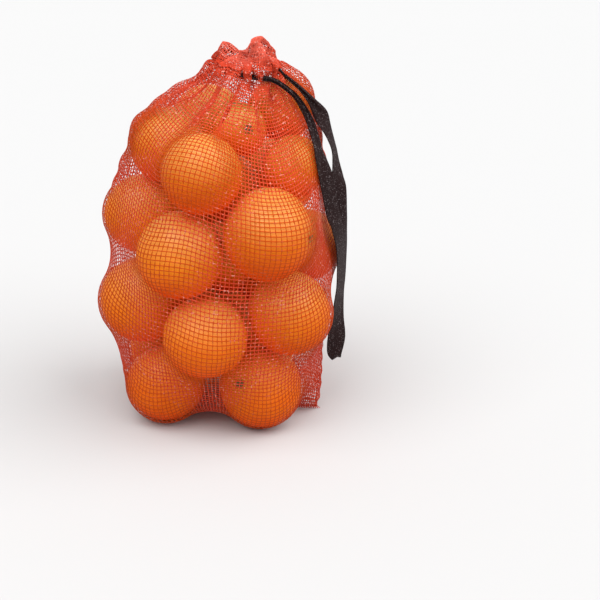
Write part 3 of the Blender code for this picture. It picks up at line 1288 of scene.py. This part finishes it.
    def _ruffle_rings(self) -> list[ndarray]:
        """Rings of the ruffle above the neck, whose rim leans in and curls down inside.

        Returns:
            The points of each ring, in order from the neck.
        """
        angles = self.angles()
        wave = self.pleat_wave(angles)
        cover = self.crest_radius(angles) - self.neck_radius
        height = self._ruffle_height(angles)
        bent = angles + 0.10 * np.sin(2 * angles + 1.0)
        lobe = np.abs(np.cos(self.lobes * bent)) ** 0.8 - 1
        rings = []
        for row in range(1, self.ruffle_rows + 1):
            share = row / self.ruffle_rows
            lift = self.neck_half_height + height * share
            crest = self.neck_radius + cover * (1 - share) ** 2
            flare = (1.6 + 1.4 * np.cos(angles)) * math.sin(share**0.6 * math.pi)
            pleat = self.pleat_depth * (1 - share) * wave + self.lobe_depth * share**1.3 * lobe
            across = crest + flare + pleat - (7.0 + 3.0 * np.cos(angles)) * share**2
            along = crest + flare + pleat - 12.0 * share**2
            rings.append(self.tilted(across * np.cos(angles), along * np.sin(angles), lift))
        rim = rings[-1]
        middle = rim.mean(axis=0)
        for row in range(1, self.curl_rows + 1):
            inner = middle + (rim - middle) * (1 - 0.10 * row)
            inner[:, 2] = rim[:, 2] + 1.6 * math.sin(row * 1.1) - 0.9 * row
            rings.append(inner)
        return rings

    def build(self, oranges: Oranges) -> None:
        """Finds every crossing, its outward normal, the round yarn's direction and the shades.

        Args:
            oranges: the fruit that the net lies on.
        """
        slack = np.array(SLACK_CLOTH)
        close = oranges.radii + self.cloth_offset
        middles = np.concatenate([oranges.middles, slack[:, :3]])
        radii = np.concatenate([close, slack[:, 3] + self.slack_offset])
        rough = self._starting_cloth(
            self.columns // self.coarse, (self.rows - 1) // self.coarse + 1
        )
        rough = self._pull_taut(rough, self.coarse_sweeps, middles, radii)
        cloth = self._pull_taut(self._refined(rough), self.fine_sweeps, middles, radii)
        cloth = self._folded(self._bunched_up(cloth), oranges.middles, close)
        cloth = self._collared(self._laid_over(cloth))
        rings = np.array(list(cloth) + self._neck_rings() + self._ruffle_rings())
        order = np.arange(len(rings)) - self.rows
        share = np.clip((order + self.crumple_rows) / self.crumple_rows, 0, 1)
        self.points = self._crumpled(rings, share)
        self.points[:, :, 2] = np.maximum(self.points[:, :, 2], self.floor_lift)
        self.normals, self.lateral = self._surface_normals(self.points)
        reach = np.full(self.points.shape[:2], np.inf)
        for middle, radius in zip(oranges.middles, oranges.radii):
            away = np.linalg.norm(self.points - middle, axis=2)
            reach = np.minimum(reach, away - radius)
        # Painted light for the yarn: orange near the fruit, paler up the ruffle above the neck.
        glow = np.exp(-np.maximum(reach - self.cloth_offset, 0) / self.glow_reach)
        above = np.clip((order - self.neck_rows) / self.pale_rows, 0, 1)
        pale = self.pale_share * above[:, None] ** 2 * np.ones_like(glow)
        self.shades = {"painted_fruit_light": glow, "painted_ruffle_light": pale}


class RibbonTree:
    """Geometry nodes that sweep a flat ribbon along every line of a mesh."""

    _tree: NodeTree | None = None

    @classmethod
    def tree(cls) -> NodeTree:
        """Builds the tree once.

        Returns:
            A tree with inputs Width, Thickness and Finish; each point's facing turns the ribbon.
        """
        if cls._tree is None:
            inputs = {
                "Geometry": "Geometry",
                "Width": 0.001,
                "Thickness": 0.0002,
                "Finish": "Material",
            }
            bench, entry, leave = new_group(
                "ribbon_along_lines", "GeometryNodeTree", inputs, {"Geometry": "Geometry"}
            )
            given = entry.outputs
            lines = bench.add("GeometryNodeMeshToCurve", {"Mesh": given["Geometry"]})
            facing = bench.add(
                "GeometryNodeInputNamedAttribute", {0: "facing"}, data_type="FLOAT_VECTOR"
            )
            turned = bench.add(
                "GeometryNodeSetCurveNormal",
                {0: lines.outputs[0], "Normal": facing.outputs[0]},
                mode="FREE",
            )
            section = bench.add(
                "GeometryNodeCurvePrimitiveQuadrilateral",
                {"Width": given["Thickness"], "Height": given["Width"]},
                mode="RECTANGLE",
            )
            curves = {"Curve": turned.outputs[0], "Profile Curve": section.outputs[0]}
            swept = bench.add("GeometryNodeCurveToMesh", {**curves, "Fill Caps": True})
            real = bench.add("GeometryNodeRealizeInstances", {0: swept.outputs[0]})
            dressed = bench.add(
                "GeometryNodeSetMaterial",
                {"Geometry": real.outputs[0], "Material": given["Finish"]},
            )
            bench.put(leave.inputs["Geometry"], dressed.outputs[0])
            cls._tree = bench.tree
        return cls._tree


def sweep_ribbon(guide: Object, width: float, thickness: float, finish: Material) -> None:
    """Turns a mesh of lines into ribbons.

    Args:
        guide: the object whose mesh is lines with a facing at each point.
        width: the ribbon's width in millimetres.
        thickness: its thickness in millimetres.
        finish: its material.
    """
    tree = RibbonTree.tree()
    modifier = guide.modifiers.new("ribbon", "NODES")
    values = {"Width": width * MM, "Thickness": thickness * MM, "Finish": finish}
    modifier.node_group = tree
    for item in tree.interface.items_tree:
        if item.in_out == "INPUT" and item.name in values:
            modifier[item.identifier] = values[item.name]
    graph = bpy.context.evaluated_depsgraph_get()
    made = bpy.data.meshes.new_from_object(guide.evaluated_get(graph), depsgraph=graph)
    guide.modifiers.clear()
    made.name = guide.name
    guide.data = made


@dataclass
class NetYarns:
    """The flat yarns of the leno weave: round ones, held by pairs of crossing upright ones."""

    form: NetForm
    round_width: float = 0.88
    round_thickness: float = 0.14
    upright_width: float = 0.50
    upright_thickness: float = 0.14
    pair_offset: float = 0.25
    face_offset: float = 0.21
    drift: float = 0.16
    tilt: float = 0.16
    round_bands: int = 3
    upright_sectors: int = 4
    round_seed: int = 125
    upright_seed: int = 121

    def _guide(
        self,
        name: str,
        lines: ndarray,
        facing: ndarray,
        shades: dict[str, ndarray],
        tone: ndarray,
        closed: bool,
    ) -> Object:
        """A mesh of lines for the ribbon tree.

        Args:
            name: the piece's name.
            lines: lines by points by x, y, z.
            facing: the ribbon's facing at each of those points.
            shades: the named numbers, 0 to 1, that go with each of those points.
            tone: one tone for each line.
            closed: whether each line's end joins its start.

        Returns:
            The linked object.
        """
        count, length = lines.shape[:2]
        index = np.arange(count * length).reshape(count, length)
        pairs = [np.stack([index[:, :-1].ravel(), index[:, 1:].ravel()], axis=1)]
        if closed:
            pairs.append(np.stack([index[:, -1], index[:, 0]], axis=1))
        mesh = mesh_from(name, lines, [], np.concatenate(pairs).tolist())
        store(mesh, "facing", facing.reshape(-1, 3))
        for shade, values in shades.items():
            store(mesh, shade, values.ravel())
        store(mesh, "yarn_tone", np.repeat(tone, length))
        return add_piece(name, mesh)

    def _placed(self, chance: np.random.Generator) -> ndarray:
        """The crossings, each moved a little along its round yarn."""
        moved = chance.normal(0, self.drift, self.form.points.shape[:2])
        return self.form.points + self.form.lateral * moved[:, :, None]

    def _leaning(
        self, normals: ndarray, lateral: ndarray, chance: np.random.Generator
    ) -> ndarray:
        """Facings that lean a little to one side or the other from place to place.

        Args:
            normals: the outward normals.
            lateral: the direction to lean in.
            chance: the source of random numbers.

        Returns:
            Unit vectors.
        """
        lean = chance.normal(0, self.tilt, normals.shape[:2])
        lean = (lean + np.roll(lean, 1, axis=1)) / 2
        return unit(normals + lateral * lean[:, :, None])

    def _round_yarns(self, finish: Material) -> list[Object]:
        """The round yarns above the seam, in bands from the bottom up.

        Args:
            finish: the yarns' material.

        Returns:
            The pieces, one for each band.
        """
        form = self.form
        chance = np.random.default_rng(self.round_seed)
        points = self._placed(chance)[1:]
        upward = unit(np.gradient(form.points, axis=0))
        facing = self._leaning(form.normals[1:], upward[1:], chance)
        pieces = []
        bands = np.array_split(np.arange(len(points)), self.round_bands)
        for number, rows in enumerate(bands, 1):
            tone = chance.uniform(0, 1, len(rows))
            shades = {shade: values[1:][rows] for shade, values in form.shades.items()}
            name = f"net_weft_{number}"
            guide = self._guide(name, points[rows], facing[rows], shades, tone, True)
            sweep_ribbon(guide, self.round_width, self.round_thickness, finish)
            pieces.append(guide)
        return pieces

    def _upright_yarns(self, finish: Material) -> list[Object]:
        """The pairs of upright yarns that swap sides at every round yarn, in sectors.

        Args:
            finish: the yarns' material.

        Returns:
            The pieces, one for each sector.
        """
        form = self.form
        chance = np.random.default_rng(self.upright_seed)
        points = self._placed(chance)
        swap = np.where(np.arange(len(points)) % 2 == 0, 1.0, -1.0)[:, None, None]
        strands = []
        for side in (1, -1):
            across = form.lateral * (swap * side * self.pair_offset)
            place = points + across + form.normals * (side * self.face_offset)
            strands.append(place.transpose(1, 0, 2))
        facing = self._leaning(form.normals, form.lateral, chance).transpose(1, 0, 2)
        pieces = []
        sectors = np.array_split(np.arange(form.columns), self.upright_sectors)
        for number, chosen in enumerate(sectors, 1):
            lines = np.concatenate([strand[chosen] for strand in strands])
            turned = np.concatenate([facing[chosen], facing[chosen]])
            tone = chance.uniform(0, 1, len(lines))
            shades = {
                shade: np.tile(values.T[chosen], (2, 1)) for shade, values in form.shades.items()
            }
            guide = self._guide(f"net_warp_{number}", lines, turned, shades, tone, False)
            sweep_ribbon(guide, self.upright_width, self.upright_thickness, finish)
            pieces.append(guide)
        return pieces

    def build(self, lie: Lie, finish: Material) -> list[Object]:
        """Builds one set of yarns.

        Args:
            lie: the round yarns or the upright ones.
            finish: their material.

        Returns:
            The finished pieces.
        """
        make = self._round_yarns if lie is Lie.ROUND else self._upright_yarns
        pieces = make(finish)
        for piece in pieces:
            settle(piece, "filled_net")
        return pieces


# ---------------------------------------------------------------------------- tape


@dataclass
class WovenTape:
    """The flat woven drawstring: the free loop and the stretch through the neck."""

    form: NetForm
    full_width: float = 13.0
    thickness: float = 0.8
    yarn: float = 1.08
    weave_height: float = 0.13
    bunch_limit: float = 1.3
    bunch_waves: float = 1.5
    bunch_drift: float = 0.036
    bunch_start: float = 205.0
    bunch_rise: float = 25.0
    route_steps: int = 12
    neck_width: float = 4.4
    neck_radius: float = 23.6
    neck_steps: int = 270
    back_exit: float = 10.0
    front_exit: float = -68.0

    def _across(self, points: ndarray, turns: ndarray) -> ndarray:
        """The direction of the tape's width at each point, steady where it folds over.

        Args:
            points: the middle line.
            turns: how far the tape's face is turned from the front at each point, in degrees.

        Returns:
            A unit vector for each point.
        """
        along = unit(np.gradient(points, axis=0))
        found: list[ndarray] = []
        for direction, turn in zip(along, np.radians(turns)):
            facing = np.array([math.sin(turn), -math.cos(turn), 0])
            across = np.cross(facing, direction)
            if np.linalg.norm(across) < 0.5 and found:
                across = found[-1] - direction * float(found[-1] @ direction)
            elif found and across @ found[-1] < 0:
                across = -across
            found.append(unit(across))
        return np.array(found)

    @staticmethod
    def _strap_faces(rows: int, columns: int) -> list[list[int]]:
        """Quads that close a strap of two equal grids of points, front and then back.

        Args:
            rows: how many points each grid has along the strap.
            columns: how many it has across.

        Returns:
            The quads.
        """
        count = rows * columns
        faces = [grid_faces(rows, columns), grid_faces(rows, columns, count)[:, ::-1]]
        side = np.arange(rows - 1) * columns
        end = np.arange(columns - 1)
        rims = (
            (side, columns, 1),
            (side + columns - 1, columns, -1),
            (end, 1, -1),
            (end + (rows - 1) * columns, 1, 1),
        )
        for low, step, flip in rims:
            quads = np.stack([low, low + step, low + step + count, low + count], axis=1)
            faces.append(quads[:, ::flip])
        return np.concatenate(faces).tolist()

    def _woven(
        self, name: str, points: ndarray, across: ndarray, widths: ndarray, finish: Material
    ) -> Object:
        """A strap whose two faces rise and fall with its weave.

        Args:
            name: the piece's name.
            points: the middle line, half a yarn apart.
            across: the direction of the width at each point.
            widths: the tape's width at each point.
            finish: its material.

        Returns:
            The linked object.
        """
        cells = 2 * round(self.full_width / self.yarn)
        rows = len(points)
        along = unit(np.gradient(points, axis=0))
        face = unit(np.cross(along, across))[:, None]
        share = np.linspace(-0.5, 0.5, cells + 1)
        spare = np.clip(self.full_width / widths - 1, 0, None)
        bunch = widths / (TURN * self.bunch_waves) * np.sqrt(2 * spare)
        bunch = np.minimum(bunch, self.bunch_limit)
        bunch *= smooth_step((points[:, 2] - self.bunch_start) / self.bunch_rise)
        phase = self.bunch_drift * np.arange(rows)[:, None]
        ripple = np.sin(TURN * self.bunch_waves * share[None, :] + phase)
        cross = np.cos(math.pi * np.arange(cells + 1) / 2 - math.pi / 2)
        weave = np.sin(math.pi * np.arange(rows) / 2)[:, None] * cross[None, :]
        spread = share[None, :, None] * widths[:, None, None]
        middle = points[:, None] + across[:, None] * spread
        lift = bunch[:, None] * ripple + weave * self.weave_height
        front = middle + face * (lift + self.thickness / 2)[:, :, None]
        back = middle + face * (lift - self.thickness / 2)[:, :, None]
        faces = self._strap_faces(rows, cells + 1)
        mesh = mesh_from(name, np.concatenate([front, back]), faces)
        store(mesh, "weave_height", 0.5 + 0.5 * np.concatenate([weave, -weave]).ravel())
        return add_piece(name, mesh, finish)

    def build_loop(self, finish: Material) -> Object:
        """Args:
            finish: the tape's material.

        Returns:
            The finished piece.
        """
        fine = smooth_route(TAPE_ROUTE, self.route_steps)
        length = float(np.linalg.norm(np.diff(fine[:, :3], axis=0), axis=1).sum())
        rows = respace(fine, int(length / (self.yarn / 2)) + 1)
        points = rows[:, :3]
        across = self._across(points, rows[:, 4])
        piece = self._woven("hanging_tape", points, across, rows[:, 3], finish)
        settle(piece, "drawstring")
        LOG.info("hanging tape: %.0f mm long", length)
        return piece

    def build_neck(self, finish: Material) -> Object:
        """Builds the stretch of tape that is threaded through the gathers.

        Args:
            finish: the tape's material.

        Returns:
            The finished piece.
        """
        start = math.radians(self.back_exit)
        end = math.radians(self.front_exit + 360)
        angles = np.linspace(start, end, self.neck_steps)
        radius = self.neck_radius + 0.5 * np.sin(9 * angles)
        points = self.form.tilted(radius * np.cos(angles), radius * np.sin(angles), 0.0)
        across = np.tile([0.0, 0.0, 1.0], (len(points), 1))
        widths = np.full(len(points), self.neck_width)
        piece = self._woven("neck_tape_woven", points, across, widths, finish)
        settle(piece, "neck_tape")
        return piece


# ---------------------------------------------------------------------------- studio


@dataclass(frozen=True)
class Light:
    """A distant soft light.

    Fields:
        name: its name.
        way: where it shines from.
        strength: its strength on a surface that faces it.
        spread: how wide its disc is, in degrees.
    """

    name: str
    way: Colour
    strength: float
    spread: float


LIGHTS = (
    Light("key", (-0.40, -0.46, 1.0), 1.9, 50.0),
    Light("fill", (0.75, -0.25, 0.9), 2.1, 60.0),
)


@dataclass
class Studio:
    """The floor, the lights and the camera."""

    elevation: float = 22.0
    distance: float = 1200.0
    focal_pixels: float = 1452.0
    frame_pixels: float = 600.0
    aim: tuple[float, float, float] = (0.0, 0.0, 130.0)
    aim_pixel: tuple[float, float] = (219.6, 264.0)
    sensor: float = 36.0
    sight: float = 50.0
    floor_reach: float = 14000.0
    floor_drop: float = 0.05
    sky: float = 0.63

    def build_camera(self) -> None:
        """Places the camera at the viewing angle, with the bag left of the frame's middle."""
        tilt = math.radians(self.elevation)
        forward = Vector((0, math.cos(tilt), -math.sin(tilt)))
        upward = Vector((0, math.sin(tilt), math.cos(tilt)))
        sideways = Vector((1, 0, 0))
        place = Vector(self.aim) - forward * self.distance
        half = self.frame_pixels / 2
        shift_right = half - self.aim_pixel[0]
        shift_down = half - self.aim_pixel[1]
        look = forward * self.focal_pixels + sideways * shift_right - upward * shift_down
        lens = bpy.data.cameras.new("camera")
        lens.sensor_width = self.sensor
        lens.lens = self.sensor * self.focal_pixels / self.frame_pixels
        lens.clip_end = self.sight
        camera = bpy.data.objects.new("camera", lens)
        backward = -look.normalized()
        level = (sideways - backward * sideways.dot(backward)).normalized()
        turned = Matrix((level, backward.cross(level), backward)).transposed()
        camera.location = place * MM
        camera.rotation_euler = turned.to_euler()
        bpy.context.scene.collection.objects.link(camera)
        bpy.context.scene.camera = camera

    def build_floor(self) -> None:
        """Lays the plain pale floor."""
        sides = ((-1, -1), (1, -1), (1, 1), (-1, 1))
        corners = [
            (across * self.floor_reach, along * self.floor_reach, -self.floor_drop)
            for across, along in sides
        ]
        mesh = mesh_from("floor", np.array(corners), [[0, 1, 2, 3]])
        add_piece("floor", mesh, FloorFinish().material())

    def build_lights(self) -> None:
        """Sets up the pale surroundings and the soft lights."""
        world = bpy.data.worlds.new("studio")
        world.use_nodes = True
        back = world.node_tree.nodes["Background"]
        back.inputs["Color"].default_value = (1, 1, 1, 1)
        back.inputs["Strength"].default_value = self.sky
        bpy.context.scene.world = world
        for light in LIGHTS:
            lamp = bpy.data.lights.new(light.name, "SUN")
            lamp.energy = light.strength
            lamp.angle = math.radians(light.spread)
            placed = bpy.data.objects.new(light.name, lamp)
            placed.rotation_euler = (-Vector(light.way)).to_track_quat("-Z", "Y").to_euler()
            bpy.context.scene.collection.objects.link(placed)

    def set_colours(self) -> None:
        """Shows colours as they are, without a film look."""
        bpy.context.scene.view_settings.view_transform = "Standard"


def main() -> None:
    """Builds and dresses the bag, piece by piece."""
    logging.basicConfig(level=logging.INFO, format="%(name)s: %(message)s")
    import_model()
    studio = Studio()
    studio.build_camera()
    oranges = Oranges()
    form = NetForm()
    form.build(oranges)
    tape = WovenTape(form)
    black = TapeFinish().material()
    tape.build_loop(black)
    tape.build_neck(black)
    oranges.build()
    oranges.build_buttons()
    yarns = NetYarns(form)
    red = YarnFinish().material()
    for lie in Lie:
        yarns.build(lie, red)
    studio.build_floor()
    studio.build_lights()
    studio.set_colours()


if __name__ == "__main__":
    main()
